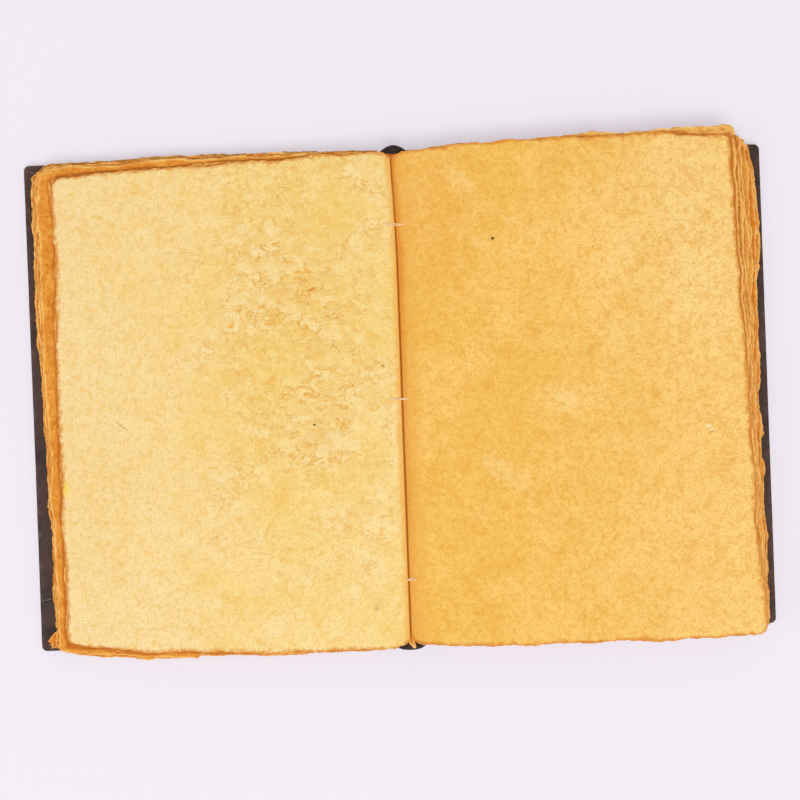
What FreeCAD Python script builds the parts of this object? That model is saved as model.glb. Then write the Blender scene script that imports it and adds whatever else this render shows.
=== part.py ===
import FreeCAD, Part
import math
import os

os.makedirs("parts", exist_ok=True)

V = FreeCAD.Vector

# An open hardback journal, lying on its two covers. Millimetres, +Z up, +Y to
# the head of the pages, +X to the back cover. The origin is on the table, under
# the middle of the gutter. Each half is drawn on the +X side; the front half is
# turned over to -X when it is written out.

# Covers: a stiff board in leather that is turned in over the board's edges.
COVER_HALF_WIDTH = 136.0    # gutter to fore-edge of one cover
COVER_HEIGHT = 178.0        # head to tail of a cover
COVER_CORNER = 2.0          # rounding of the two outer corners, in plan
LEATHER = 0.9               # leather over the outside
BOARD = 2.5                 # stiff board
TURN_IN = 0.5               # leather pared thin where it is turned in
TURN_IN_WIDTH = 18.0        # how far the turned-in leather reaches over a board
LEATHER_ROUND = 0.45        # rounding where leather bends over a board's edge
MITRE_GAP = 0.3             # open seam where two turn-ins meet at a corner

# Spine: one strip of leather that bows up under the gutter when the book lies open.
HINGE_HEIGHT = 13.5         # line that the front half turns about
FOLD_GAP = 0.15             # each half keeps this far off the plane of the gutter
ARCH_HALF_WIDTH = 6.6       # outside of the bowed leather, at the table
ARCH_CREST = 12.3           # top of the bowed leather, under the gutter
SPINE_PROUD = 2.8           # spine leather stands out past the boards, head and tail
SPINE_SHOULDER = 4.4        # where it starts to draw back to the boards' edges
BOARD_TO_SPINE = 1.0        # joint between the bowed leather and a board

# Cloth and paper glued inside the covers.
LINING = 0.5                # cloth over the back of the pages and onto the board
LINING_ON_BOARD = 16.0      # how far the cloth runs onto the board
PASTEDOWN = 0.3             # paper over the cloth and the turn-ins
PASTEDOWN_MARGIN = 7.5      # leather left showing round the paper

# Pages: torn-edged sheets, drawn as a stack of leaves that are bound into one block.
PAGE_RISE = 1.5             # height the top sheet gains or loses out to the fore-edge
GUTTER_CURVE = 0.5          # extra bend of the sheets close to the gutter
GUTTER_CURVE_LENGTH = 7.0   # how quickly that bend dies away
FIRST_FACET = 5.0           # the bent sheets are drawn in flat facets; width of the first
FACET_GROWTH = (0, 1, 2.4, 6.4, 15, 28)
POINTS_ALONG_HEAD = 12      # corners in a torn edge, head or tail
POINTS_ALONG_FORE = 18      # corners in a torn fore-edge
TORN_DEPTH = 0.55           # how far a torn edge strays to either side
TORN_LONG_WAVE = 71.0       # lengths of the waves that a torn edge is made of
TORN_SHORT_WAVE = 25.8
TORN_NOTCH_WAVE = 10.7
SHEET_CORNER = 4.0          # rounding at a sheet's outer corners
LARGEST_OVERHANG = 4.6      # furthest that a sheet reaches past the covers, head or tail

# Size of the lowest and the highest sheet of each half: where its head and tail
# edges lie at the gutter and at the fore-edge, where its fore-edge lies at head
# and tail, and how deep and wide the rounded-off gutter corners are.
BACK_LOWEST = dict(head_gutter=89.9, head_fore=89.4, tail_gutter=90.3, tail_fore=88.0,
                   fore_head=132.8, fore_tail=132.4, head_notch=1.6, tail_notch=2.2)
BACK_HIGHEST = dict(head_gutter=90.4, head_fore=94.4, tail_gutter=91.6, tail_fore=90.4,
                    fore_head=123.4, fore_tail=128.8, head_notch=3.0, tail_notch=3.4)
FRONT_LOWEST = dict(head_gutter=91.2, head_fore=90.4, tail_gutter=93.8, tail_fore=89.6,
                    fore_head=133.0, fore_tail=130.2, head_notch=2.6, tail_notch=4.6)
FRONT_HIGHEST = dict(head_gutter=89.6, head_fore=84.0, tail_gutter=92.0, tail_fore=86.8,
                     fore_head=124.6, fore_tail=124.4, head_notch=2.2, tail_notch=3.6)
NOTCH_WIDTH = 6.5           # gutter corners are rounded off over this width

# Visible steps in the edges of each stack, from the lowest sheet to the highest: the
# share of the way that each step's edges have moved from the lowest sheet's to the
# highest one's. The front half shows one broad step under its highest sheet.
BACK_STEPS = (0, 0.14, 0.33, 0.52, 0.70, 0.86, 1)
FRONT_STEPS = (0, 0.09, 0.18, 0.27, 0.36, 0.94, 1)

# Sewing: one thread down each half's folds, up through the paper at each station
# and across the gutter.
THREAD = 0.6                # diameter
THREAD_CLEARANCE = 0.05     # room round the thread in the paper
STITCH_HALF = 4.4           # half length of a stitch across the gutter
STITCH_STATIONS = (-66.0, -0.6, 62.4)
THREAD_RUN_HEIGHT = 11.3    # where the thread runs along the folds
THREAD_RUN_HALF = 78.0      # half length of that run

# Heights and edges that follow from the sizes above.
BOARD_TOP = LEATHER + BOARD
TURN_IN_TOP = BOARD_TOP + TURN_IN
BLOCK_BASE = BOARD_TOP + LINING + PASTEDOWN
HALF_HEIGHT = COVER_HEIGHT / 2
SPINE_HALF = HALF_HEIGHT + SPINE_PROUD
CAP_START = HALF_HEIGHT - TURN_IN_WIDTH
BOARD_SPINE_EDGE = ARCH_HALF_WIDTH + BOARD_TO_SPINE
SECTION_TOP = HINGE_HEIGHT - FOLD_GAP
LARGEST_HALF_HEIGHT = HALF_HEIGHT + LARGEST_OVERHANG
PROFILE_STATIONS = [FIRST_FACET * growth for growth in FACET_GROWTH]


def prism(points, direction):
    """Solid swept along a direction from a closed flat outline."""
    wire = Part.makePolygon(points + [points[0]])
    return Part.Face(wire).extrude(direction)


def cover_plate(spine_edge, fore_edge, half_height, corner, bottom, top):
    """Plate with its two fore-edge corners rounded in plan."""
    k = corner * (1 - math.sqrt(0.5))
    inner_x = fore_edge - corner
    inner_y = half_height - corner
    tail_arc = Part.Arc(V(inner_x, -half_height, bottom),
                        V(fore_edge - k, -half_height + k, bottom),
                        V(fore_edge, -inner_y, bottom))
    head_arc = Part.Arc(V(fore_edge, inner_y, bottom),
                        V(fore_edge - k, half_height - k, bottom),
                        V(inner_x, half_height, bottom))
    edges = [
        Part.makeLine(V(spine_edge, -half_height, bottom), V(inner_x, -half_height, bottom)),
        tail_arc.toShape(),
        Part.makeLine(V(fore_edge, -inner_y, bottom), V(fore_edge, inner_y, bottom)),
        head_arc.toShape(),
        Part.makeLine(V(inner_x, half_height, bottom), V(spine_edge, half_height, bottom)),
        Part.makeLine(V(spine_edge, half_height, bottom), V(spine_edge, -half_height, bottom)),
    ]
    return Part.Face(Part.Wire(edges)).extrude(V(0, 0, top - bottom))


def box(x0, x1, y0, y1, z0, z1):
    return Part.makeBox(x1 - x0, y1 - y0, z1 - z0, V(x0, y0, z0))


def arch_fill(growth, half_length):
    """Everything under the bowed spine leather's outside, grown outwards by a thickness."""
    major = ARCH_CREST + growth
    minor = ARCH_HALF_WIDTH + growth
    ellipse = Part.Ellipse(V(0, -half_length, major), V(minor, -half_length, 0),
                           V(0, -half_length, 0))
    face = Part.Face(Part.Wire(ellipse.toShape()))
    whole = face.extrude(V(0, 2 * half_length, 0))
    quarter = box(FOLD_GAP, 2 * minor, -half_length, half_length, 0, 2 * major)
    return whole.common(quarter)


def arch_shell(inner_growth, outer_growth, half_length):
    outside = arch_fill(outer_growth, half_length)
    inside = arch_fill(inner_growth, half_length + 1)
    return outside.cut(inside)


def spine_outline():
    """Plan of the spine leather: full length at the gutter, drawn back at the boards."""
    edge = BOARD_SPINE_EDGE
    low = HALF_HEIGHT - LEATHER_ROUND
    points = [
        V(FOLD_GAP, -SPINE_HALF, 0),
        V(SPINE_SHOULDER, -SPINE_HALF + 0.3, 0),
        V(edge, -low, 0),
        V(edge, low, 0),
        V(SPINE_SHOULDER, SPINE_HALF - 0.3, 0),
        V(FOLD_GAP, SPINE_HALF, 0),
    ]
    return prism(points, V(0, 0, 2 * HINGE_HEIGHT))


def round_rim(plate, spine_edge):
    """Rounds the plate's long edges, but not those at the spine."""
    rim = []
    for edge in plate.Edges:
        box_ = edge.BoundBox
        level = box_.ZLength < 0.01
        if level and box_.XMax > spine_edge + 0.01:
            rim.append(edge)
    return plate.makeFillet(LEATHER_ROUND, rim)


def mitre_seam(sign):
    """Narrow slot through the turned-in leather, from an outer corner inwards."""
    reach = TURN_IN_WIDTH * math.sqrt(2)
    slot = box(0, reach, -MITRE_GAP / 2, MITRE_GAP / 2, BOARD_TOP, TURN_IN_TOP + 1)
    slot.rotate(V(0, 0, 0), V(0, 0, 1), 180 + 45 * sign)
    start = LEATHER + COVER_CORNER * 0.3
    slot.translate(V(COVER_HALF_WIDTH - start, sign * (HALF_HEIGHT - start), 0))
    return slot


def make_leather():
    spine_edge = ARCH_HALF_WIDTH - LEATHER
    outer = cover_plate(spine_edge, COVER_HALF_WIDTH, HALF_HEIGHT, COVER_CORNER, 0, TURN_IN_TOP)
    outer = round_rim(outer, spine_edge)
    room = cover_plate(spine_edge - 1, COVER_HALF_WIDTH - LEATHER, HALF_HEIGHT - LEATHER,
                       COVER_CORNER - LEATHER, LEATHER, BOARD_TOP)
    window = box(spine_edge - 1, COVER_HALF_WIDTH - TURN_IN_WIDTH,
                 -CAP_START, CAP_START, BOARD_TOP, TURN_IN_TOP + 1)
    cover = outer.cut(room).cut(window)
    for sign in (-1, 1):
        cover = cover.cut(mitre_seam(sign))
    spine = arch_shell(-LEATHER, 0, SPINE_HALF)
    caps = arch_shell(0, TURN_IN, SPINE_HALF)
    caps = caps.cut(box(0, 2 * ARCH_HALF_WIDTH, -CAP_START, CAP_START, 0, 2 * HINGE_HEIGHT))
    caps = caps.cut(box(0, 2 * ARCH_HALF_WIDTH, -SPINE_HALF, SPINE_HALF, 0, BOARD_TOP))
    spine = spine.fuse(caps).common(spine_outline())
    cover = cover.cut(arch_fill(-LEATHER, SPINE_HALF))
    return cover.fuse(spine).removeSplitter()


def make_board():
    return cover_plate(BOARD_SPINE_EDGE, COVER_HALF_WIDTH - LEATHER, HALF_HEIGHT - LEATHER,
                       COVER_CORNER - LEATHER, LEATHER, BOARD_TOP)


def make_lining():
    half = CAP_START - 0.2
    over_back = arch_shell(0, LINING, half)
    over_back = over_back.cut(box(0, 2 * ARCH_HALF_WIDTH, -half, half, 0, BOARD_TOP))
    on_board = box(FOLD_GAP, BOARD_SPINE_EDGE + LINING_ON_BOARD, -half, half,
                   BOARD_TOP, BOARD_TOP + LINING)
    on_board = on_board.cut(arch_fill(0, half + 1))
    return over_back.fuse(on_board).removeSplitter()


def make_pastedown(leather, lining):
    half = HALF_HEIGHT - PASTEDOWN_MARGIN
    sheet = box(BOARD_SPINE_EDGE + 0.4, COVER_HALF_WIDTH - PASTEDOWN_MARGIN, -half, half,
                BOARD_TOP, BLOCK_BASE)
    return sheet.cut(leather).cut(lining)


def top_of_pages(x, rise):
    """Height of the highest sheet at x from the gutter. One half climbs away from the
    gutter (rise +1) and the other falls by as much (rise -1), so they close flat."""
    bend = GUTTER_CURVE * (1 - math.exp(-x / GUTTER_CURVE_LENGTH))
    tilt = PAGE_RISE * x / BACK_HIGHEST["fore_head"]
    return SECTION_TOP + rise * (bend + tilt)


def torn(distance, number):
    """How far a torn edge strays at a distance along it. Each sheet strays its own way."""
    turns = 2 * math.pi * distance
    long_wave = 0.50 * math.sin(turns / TORN_LONG_WAVE + 1.9 * number)
    short_wave = 0.32 * math.sin(turns / TORN_SHORT_WAVE + 4.7 * number)
    notch_wave = 0.18 * math.sin(turns / TORN_NOTCH_WAVE + 2.3 * number)
    return TORN_DEPTH * (long_wave + short_wave + notch_wave)


def sheet_outline(sheet, number):
    """Outline of one torn sheet, from the gutter's tail end round to its head end."""
    points = [V(FOLD_GAP, -(sheet["tail_gutter"] - sheet["tail_notch"]), 0)]
    head_points = []
    for i in range(POINTS_ALONG_HEAD):
        share = i / (POINTS_ALONG_HEAD - 1)
        # The first corners follow the rounded-off gutter corner closely.
        share = share ** 1.5
        x_tail = 2.0 + share * (sheet["fore_tail"] - SHEET_CORNER - 2.0)
        x_head = 2.0 + share * (sheet["fore_head"] - SHEET_CORNER - 2.0)
        drop_tail = sheet["tail_notch"] * math.exp(-((x_tail / NOTCH_WIDTH) ** 2))
        drop_head = sheet["head_notch"] * math.exp(-((x_head / NOTCH_WIDTH) ** 2))
        y_tail = sheet["tail_gutter"] + share * (sheet["tail_fore"] - sheet["tail_gutter"])
        y_head = sheet["head_gutter"] + share * (sheet["head_fore"] - sheet["head_gutter"])
        y_tail += torn(x_tail, number) - drop_tail
        y_head += torn(x_head, number + 7) - drop_head
        points.append(V(x_tail, -min(y_tail, LARGEST_HALF_HEIGHT), 0))
        head_points.append(V(x_head, min(y_head, LARGEST_HALF_HEIGHT), 0))
    start = -(sheet["tail_fore"] - SHEET_CORNER)
    end = sheet["head_fore"] - SHEET_CORNER
    for i in range(POINTS_ALONG_FORE):
        share = i / (POINTS_ALONG_FORE - 1)
        y = start + share * (end - start)
        x = sheet["fore_tail"] + share * (sheet["fore_head"] - sheet["fore_tail"])
        points.append(V(x + torn(y, number + 3), y, 0))
    points += reversed(head_points)
    points.append(V(FOLD_GAP, sheet["head_gutter"] - sheet["head_notch"], 0))
    return points


def page_layer(lowest, highest, steps, rise, index):
    """One visible step of the stack: a torn sheet's outline, bent to the lie of the pages."""
    low = index / len(steps)
    high = (index + 1) / len(steps)
    sheet = {}
    for key in lowest:
        sheet[key] = lowest[key] + steps[index] * (highest[key] - lowest[key])
    under = []
    over = []
    for x in PROFILE_STATIONS:
        depth = top_of_pages(x, rise) - BLOCK_BASE
        under.append(V(x, -HINGE_HEIGHT * 10, BLOCK_BASE + low * depth))
        over.append(V(x, -HINGE_HEIGHT * 10, BLOCK_BASE + high * depth))
    lie = prism(under + list(reversed(over)), V(0, HINGE_HEIGHT * 20, 0))
    plan = prism(sheet_outline(sheet, index * 2 + rise), V(0, 0, 2 * HINGE_HEIGHT))
    return lie.common(plan)


def make_thread(rise, radius):
    """The thread of one half, as one bent rod with round elbows."""
    run = THREAD_RUN_HALF
    height = THREAD_RUN_HEIGHT
    thread = Part.makeCylinder(radius, 2 * run, V(STITCH_HALF, -run, height), V(0, 1, 0))
    for y in STITCH_STATIONS:
        hole = V(STITCH_HALF, y, top_of_pages(PROFILE_STATIONS[1], rise) - THREAD / 2)
        slope = (hole.z - SECTION_TOP + THREAD / 2) / PROFILE_STATIONS[1]
        hole.z = SECTION_TOP + slope * STITCH_HALF - THREAD / 2
        gutter = V(0, y, SECTION_TOP - THREAD / 2)
        riser = Part.makeCylinder(radius, hole.z - height, V(STITCH_HALF, y, height), V(0, 0, 1))
        across = Part.makeCylinder(radius, (gutter - hole).Length, hole, gutter - hole)
        elbow = Part.makeSphere(radius, hole)
        thread = thread.fuse([riser, elbow, across])
    reach = box(FOLD_GAP, 3 * STITCH_HALF, -2 * run, 2 * run, 0, 2 * HINGE_HEIGHT)
    return thread.common(reach)


def make_pages(lowest, highest, steps, rise):
    layers = [page_layer(lowest, highest, steps, rise, i) for i in range(len(steps))]
    block = layers[0].fuse(layers[1:]).removeSplitter()
    block = block.cut(arch_fill(max(LINING, TURN_IN), 2 * SPINE_HALF))
    groove = make_thread(rise, THREAD / 2 + THREAD_CLEARANCE)
    for y in STITCH_STATIONS:
        # The stitch lies open in the top sheet, so its groove has no roof.
        groove = groove.fuse(box(FOLD_GAP, STITCH_HALF, y - THREAD / 2 - THREAD_CLEARANCE,
                                 y + THREAD / 2 + THREAD_CLEARANCE,
                                 SECTION_TOP - THREAD / 2, 2 * HINGE_HEIGHT))
    return block.cut(groove)


def check(name, shape):
    if len(shape.Solids) != 1 or not shape.isValid():
        raise RuntimeError(name + ": " + str(len(shape.Solids)) + " solids, valid "
                           + str(shape.isValid()))
    return shape.Solids[0]


leather = make_leather()
board = make_board()
lining = make_lining()
pastedown = make_pastedown(leather, lining)
thread_radius = THREAD / 2
back_pages = make_pages(BACK_LOWEST, BACK_HIGHEST, BACK_STEPS, 1)
front_pages = make_pages(FRONT_LOWEST, FRONT_HIGHEST, FRONT_STEPS, -1)
halves = {
    "back": (False, back_pages, make_thread(1, thread_radius)),
    "front": (True, front_pages, make_thread(-1, thread_radius)),
}
for half, (turned_over, pages, sewing) in halves.items():
    pieces = {
        "leather": leather,
        "board": board,
        "lining": lining,
        "pastedown": pastedown,
        "pages": pages,
        "sewing": sewing,
    }
    for piece, shape in pieces.items():
        name = half + "_" + piece
        solid = check(name, shape)
        if turned_over:
            solid = solid.mirror(V(0, 0, 0), V(1, 0, 0))
        solid.exportStep("parts/" + name + ".step")
        print(name, round(solid.Volume), solid.BoundBox)
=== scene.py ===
import math

import bpy
import numpy as np
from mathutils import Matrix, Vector


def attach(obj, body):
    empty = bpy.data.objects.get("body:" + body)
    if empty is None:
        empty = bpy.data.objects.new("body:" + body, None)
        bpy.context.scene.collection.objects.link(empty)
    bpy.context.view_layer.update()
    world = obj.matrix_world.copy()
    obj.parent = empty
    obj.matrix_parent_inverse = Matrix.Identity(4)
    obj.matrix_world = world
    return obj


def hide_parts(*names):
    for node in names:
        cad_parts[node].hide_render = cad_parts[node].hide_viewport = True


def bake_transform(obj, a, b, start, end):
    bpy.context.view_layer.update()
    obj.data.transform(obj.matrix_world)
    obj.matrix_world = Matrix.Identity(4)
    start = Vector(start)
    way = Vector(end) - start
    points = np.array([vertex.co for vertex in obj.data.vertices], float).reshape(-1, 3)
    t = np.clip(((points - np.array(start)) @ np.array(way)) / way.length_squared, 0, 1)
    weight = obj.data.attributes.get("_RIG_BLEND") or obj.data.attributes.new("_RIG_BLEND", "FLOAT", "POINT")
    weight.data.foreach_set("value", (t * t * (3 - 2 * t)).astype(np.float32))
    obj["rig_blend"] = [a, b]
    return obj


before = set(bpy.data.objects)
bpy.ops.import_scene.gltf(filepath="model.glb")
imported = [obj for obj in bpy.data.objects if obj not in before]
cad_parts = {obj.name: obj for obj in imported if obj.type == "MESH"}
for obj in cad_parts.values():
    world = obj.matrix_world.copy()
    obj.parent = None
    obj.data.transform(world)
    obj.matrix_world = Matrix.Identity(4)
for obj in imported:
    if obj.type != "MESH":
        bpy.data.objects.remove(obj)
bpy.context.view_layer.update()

MM = 0.001

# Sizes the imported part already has, in millimetres.
COVER_HALF_WIDTH = 136.0
COVER_HALF_HEIGHT = 89.0
COVER_CORNER = 2.0
LEATHER = 0.9
BOARD_TOP = 3.4
TURN_IN_TOP = 3.9
TURN_IN_WIDTH = 18.0
SPINE_HALF = 91.8
ARCH_HALF_WIDTH = 6.6
ARCH_CREST = 12.3
BOW_CREST = 11.8            # the skin bows up a little less than the rigid halves do
HINGE_HEIGHT = 13.5
BLOCK_BASE = 4.2
SECTION_TOP = HINGE_HEIGHT - 0.15
PAGE_RISE = 1.5
GUTTER_CURVE = 0.5
GUTTER_CURVE_LENGTH = 7.0
RISE_REACH = 123.4
GUTTER_DIP = 0.42           # the back's leaves sink by this at the gutter
GUTTER_DIP_REACH = 2.8
LINING_EDGE = 23.6          # the lining cloth reaches this far onto the boards

# Cover leather.
LEATHER_ROUND = 0.5
SKIVED_EDGE = 0.25          # turned-in leather thins to this at its inner edge
FLAT_FROM = 11.0            # the cover is flat and stiff beyond this far from the gutter
BEND_REACH = 6.2            # everything bends between this far either side of the gutter
BOW_POINTS = 26             # points along half of the bow
LIP_FROM = 84.0             # painted shade darkens the spine leather from here to head and tail
HEAD_CORNER_OUT = (0.3, 1.2)  # the front cover isn't quite square: its head corner reaches out

# Leaves.
FRONT_LEAVES = 19
BACK_LEAVES = 25
LEAF_THICKNESS = 0.26
BORDER = 12.0               # leaves under the top one are modelled this far in from their edges
TOP_LEAF_INNER = 0.13       # the leaf on show begins this far from the gutter
OUT_OF_REACH = 50.0         # distance written where an edge or fold has no effect
TEAR = 0.5                  # depth of the torn waves along a leaf's edge
TOP_TEAR = 0.42             # and along the edge of the leaf on show
TOP_LEAF_GRID = (150, 220)  # columns and rows of the leaf on show

# Camera: above the book, as fitted to the photo. The book is turned a little in the picture.
CAMERA_PLACE = (-7.66, -0.50, 520.8)
CAMERA_TURN = (-0.041, -0.774, -2.094)
CAMERA_LENS = 62.88


# Shapes.

def wander(s, seed, longest, shortest, waves):
    """A smooth random line along s, about one unit high, the same on every run."""
    rng = np.random.default_rng(seed)
    out = np.zeros_like(np.asarray(s, float))
    total = 0.0
    for k in range(waves):
        length = longest * (shortest / longest) ** (k / max(waves - 1, 1))
        length *= rng.uniform(0.8, 1.25)
        height = (length / longest) ** 0.55
        out += height * np.sin(2 * np.pi * s / length + rng.uniform(0, 2 * np.pi))
        total += height * height / 2
    return out / math.sqrt(total)


def relief(x, y, seed, size, waves=14):
    """A smooth random surface over x and y, about one unit high."""
    rng = np.random.default_rng(seed)
    out = np.zeros_like(np.asarray(x, float))
    for _ in range(waves):
        length = size * rng.uniform(0.55, 1.6)
        turn = rng.uniform(0, np.pi)
        phase = rng.uniform(0, 2 * np.pi)
        out += np.sin(2 * np.pi * (x * math.cos(turn) + y * math.sin(turn)) / length + phase)
    return out / math.sqrt(waves / 2)


def page_top(x, rise):
    """Height of the top sheet at a distance from the gutter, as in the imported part."""
    x = np.maximum(x, 0.0)
    bend = GUTTER_CURVE * (1 - np.exp(-x / GUTTER_CURVE_LENGTH))
    return SECTION_TOP + rise * (bend + PAGE_RISE * x / RISE_REACH)


def sheet_swell(x, y, rise):
    """How far the sheets swell and sink. One half's hollows are the other half's humps, so
    that the pages still meet when the book is closed."""
    near = np.clip(x / 8, 0, 1)
    return rise * (0.10 * relief(x, y, 40, 60) + 0.045 * relief(x, y, 41, 16) * near)


def gutter_drift(y):
    """The gutter runs straight but for its head end, where the leaves lean to the front."""
    return np.interp(y, (50, 60, 70, 76, 88), (0.0, -0.2, -0.5, -0.8, -1.2))


def gutter_dip(x):
    return GUTTER_DIP * np.exp(-(x / GUTTER_DIP_REACH) ** 2)


def arch_edge(z, growth):
    """Distance from the gutter to the spine leather's outside, at a height."""
    height = ARCH_CREST + growth
    ratio = np.clip(z / height, 0, 1)
    return (ARCH_HALF_WIDTH + growth) * np.sqrt(1 - ratio ** 2)


def make_object(name, verts, faces, material, attributes=None, smooth=True):
    mesh = bpy.data.meshes.new(name)
    mesh.from_pydata([tuple(v) for v in np.asarray(verts) * MM], [], faces)
    for key, values in (attributes or {}).items():
        layer = mesh.attributes.new(key, "FLOAT", "POINT")
        layer.data.foreach_set("value", np.asarray(values, np.float32))
    if smooth:
        mesh.polygons.foreach_set("use_smooth", [True] * len(mesh.polygons))
        mesh.set_sharp_from_angle(angle=math.radians(50))
    mesh.materials.append(material)
    obj = bpy.data.objects.new(name, mesh)
    bpy.context.scene.collection.objects.link(obj)
    return obj


class Shells:
    """Gathers closed shells into one mesh."""

    def __init__(self):
        self.verts, self.faces, self.attributes = [], [], {}
        self.count = 0

    def add(self, verts, faces, **attributes):
        verts = np.asarray(verts, float)
        self.faces += [tuple(i + self.count for i in f) for f in faces]
        self.verts.append(verts)
        self.count += len(verts)
        for key, values in attributes.items():
            self.attributes.setdefault(key, []).append(np.broadcast_to(values, len(verts)))

    def build(self, name, material):
        data = {k: np.concatenate(v) for k, v in self.attributes.items()}
        return make_object(name, np.concatenate(self.verts), self.faces, material, data)


def grid_faces(rows, columns, wrap=False, flip=False):
    """Quads of a grid of points numbered row by row; wrap joins the last column to the first."""
    faces = []
    across = columns if wrap else columns - 1
    for r in range(rows - 1):
        for c in range(across):
            d = (c + 1) % columns
            quad = (r * columns + c, r * columns + d, (r + 1) * columns + d, (r + 1) * columns + c)
            faces.append(quad[::-1] if flip else quad)
    return faces


def turned(faces, flip):
    """The faces as they are, or where flip holds, facing the other way."""
    return [f[::-1] for f in faces] if flip else faces


def loft(rings):
    """Closed shell through rings of equal length. The end rings are capped flat."""
    rings = np.asarray(rings, float)
    rows, columns = rings.shape[:2]
    faces = grid_faces(rows, columns, wrap=True)
    faces.append(tuple(range(columns))[::-1])
    faces.append(tuple((rows - 1) * columns + i for i in range(columns)))
    return rings.reshape(-1, 3), faces


# Leaves.

class Half:
    """Where the edges of one half's lowest and highest leaves lie, in millimetres. Each
    edge is given at a few stations: along x for head and tail, along y for the fore-edge.
    show_head is the head edge of the leaf on show, where it isn't the highest one's. The
    outlines of the leaves have their points at the spacing."""

    def __init__(self, side, rise, leaves, seed, spacing, **edges):
        self.side, self.rise, self.leaves, self.seed = side, rise, leaves, seed
        self.spacing, self.edges = spacing, edges
        self.edges.setdefault("show_head", edges["top_head"])

    def line(self, key, at):
        stations, values = self.edges[key]
        return np.interp(at, stations, values)


FRONT = Half(
    -1, -1, FRONT_LEAVES, 11, 0.85,
    low_head=((0, 13, 44, 93, 125, 133), (89.4, 90.5, 91.4, 91.2, 89.8, 88.6)),
    low_tail=((0, 51, 77.5, 78.6, 106, 122, 128, 133),
              (91.0, 92.9, 92.0, 92.9, 91.8, 90.3, 88.2, 86.6)),
    low_fore=((-84, -62, -40, -22, -3, 15, 24, 39, 48, 81),
              (130.2, 130.2, 130.9, 131.1, 132.0, 132.2, 132.9, 133.6, 133.3, 133.2)),
    top_head=((0, 1.4, 2.2, 4, 9, 23, 45, 70, 93, 122),
              (86.9, 87.3, 88.1, 89.1, 89.2, 89.3, 87.6, 86.9, 86.2, 84.1)),
    top_tail=((0, 2.3, 6, 40, 70, 96, 124), (88.8, 90.2, 91.5, 91.5, 90.7, 89.5, 86.4)),
    top_fore=((-82, -40, -25, -3, 24, 47, 80), (124.4, 124.8, 124.9, 124.9, 125.1, 123.9, 124.8)),
)

BACK = Half(
    1, 1, BACK_LEAVES, 29, 0.97,
    low_head=((0, 13, 44, 93, 125, 133), (88.6, 89.4, 90.2, 90.6, 90.2, 88.2)),
    low_tail=((0, 40, 80, 110, 133), (89.4, 90.0, 89.8, 89.4, 88.2)),
    low_fore=((-86, -70, -61, -56, -48, -7, 16, 38, 55, 74, 80, 89),
              (132.9, 132.9, 132.3, 133.5, 132.3, 132.0, 132.5, 133.0, 134.1, 133.7, 133.2, 130.4)),
    top_head=((0, 2.2, 5.3, 12.4, 25, 50, 64, 80, 112, 122),
              (86.9, 88.1, 89.2, 89.7, 91.0, 91.8, 92.8, 93.2, 94.2, 94.0)),
    top_tail=((0, 1.4, 4.3, 10, 43, 74, 106, 118, 129),
              (87.7, 88.9, 89.9, 90.8, 91.8, 91.5, 91.9, 91.2, 90.4)),
    top_fore=((-89, -49, -23, -12, 23, 31, 73, 91),
              (129.9, 126.7, 126.5, 125.9, 125.0, 124.0, 122.8, 122.2)),
    show_head=((0, 2.2, 5.3, 12.4, 25, 50, 60, 72, 90, 97, 111, 121),
               (86.9, 88.1, 89.2, 89.7, 91.0, 91.8, 92.2, 92.1, 92.2, 92.3, 91.9, 91.0)),
)

# The leaves lie in groups that were folded and torn together. How far each group's edges have
# moved from the lowest leaf's to the top leaf's.
FRONT_GROUPS = (0.0, 0.09, 0.18, 0.27, 0.36, 0.975)
BACK_GROUPS = (0.0, 0.14, 0.33, 0.52, 0.70, 0.86)


def leaf_group(half, index):
    steps = FRONT_GROUPS if half is FRONT else BACK_GROUPS
    return index * len(steps) // half.leaves


def leaf_share(half, index):
    """0 for the lowest leaf, 1 for the highest."""
    if index == half.leaves:
        return 1.0
    steps = FRONT_GROUPS if half is FRONT else BACK_GROUPS
    return steps[leaf_group(half, index)]


def mixed(half, edge, at, share):
    low = half.line("low_" + edge, at)
    high = half.line("top_" + edge, at)
    return low + share * (high - low)


def closed_sheet(top, under, flip=False):
    """A closed sheet between two grids of points. The grids' rows and columns run so that
    a column crossed with a row points up, or down where it is flipped."""
    rows, columns = top.shape[:2]
    count = rows * columns
    faces = grid_faces(rows, columns, flip=flip)
    faces += [tuple(i + count for i in f[::-1]) for f in faces]
    rim = (list(range(columns))
           + [r * columns + columns - 1 for r in range(1, rows)]
           + [(rows - 1) * columns + c for c in range(columns - 2, -1, -1)]
           + [r * columns for r in range(rows - 2, 0, -1)])
    walls = [(b, a, a + count, b + count) for a, b in zip(rim, rim[1:] + rim[:1])]
    faces += turned(walls, flip)
    return np.concatenate([top.reshape(-1, 3), under.reshape(-1, 3)]), faces


def torn_edge(s, group_seed, own_seed, depth):
    """A torn edge along s: waves it shares with its group, and fine tears of its own."""
    shared = 0.62 * wander(s, group_seed, 48, 9, 6)
    own = 0.22 * wander(s, own_seed, 22, 6, 4) + 0.22 * wander(s, own_seed + 1, 5, 1.5, 6)
    bites = np.clip(wander(s, own_seed + 2, 13, 3.5, 4) - 1.7, 0, None)
    return depth * (shared + own - 1.1 * bites)


def leaf_seed(half, index):
    return half.seed * 1000 + (777 if index == half.leaves else index * 50)


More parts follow.
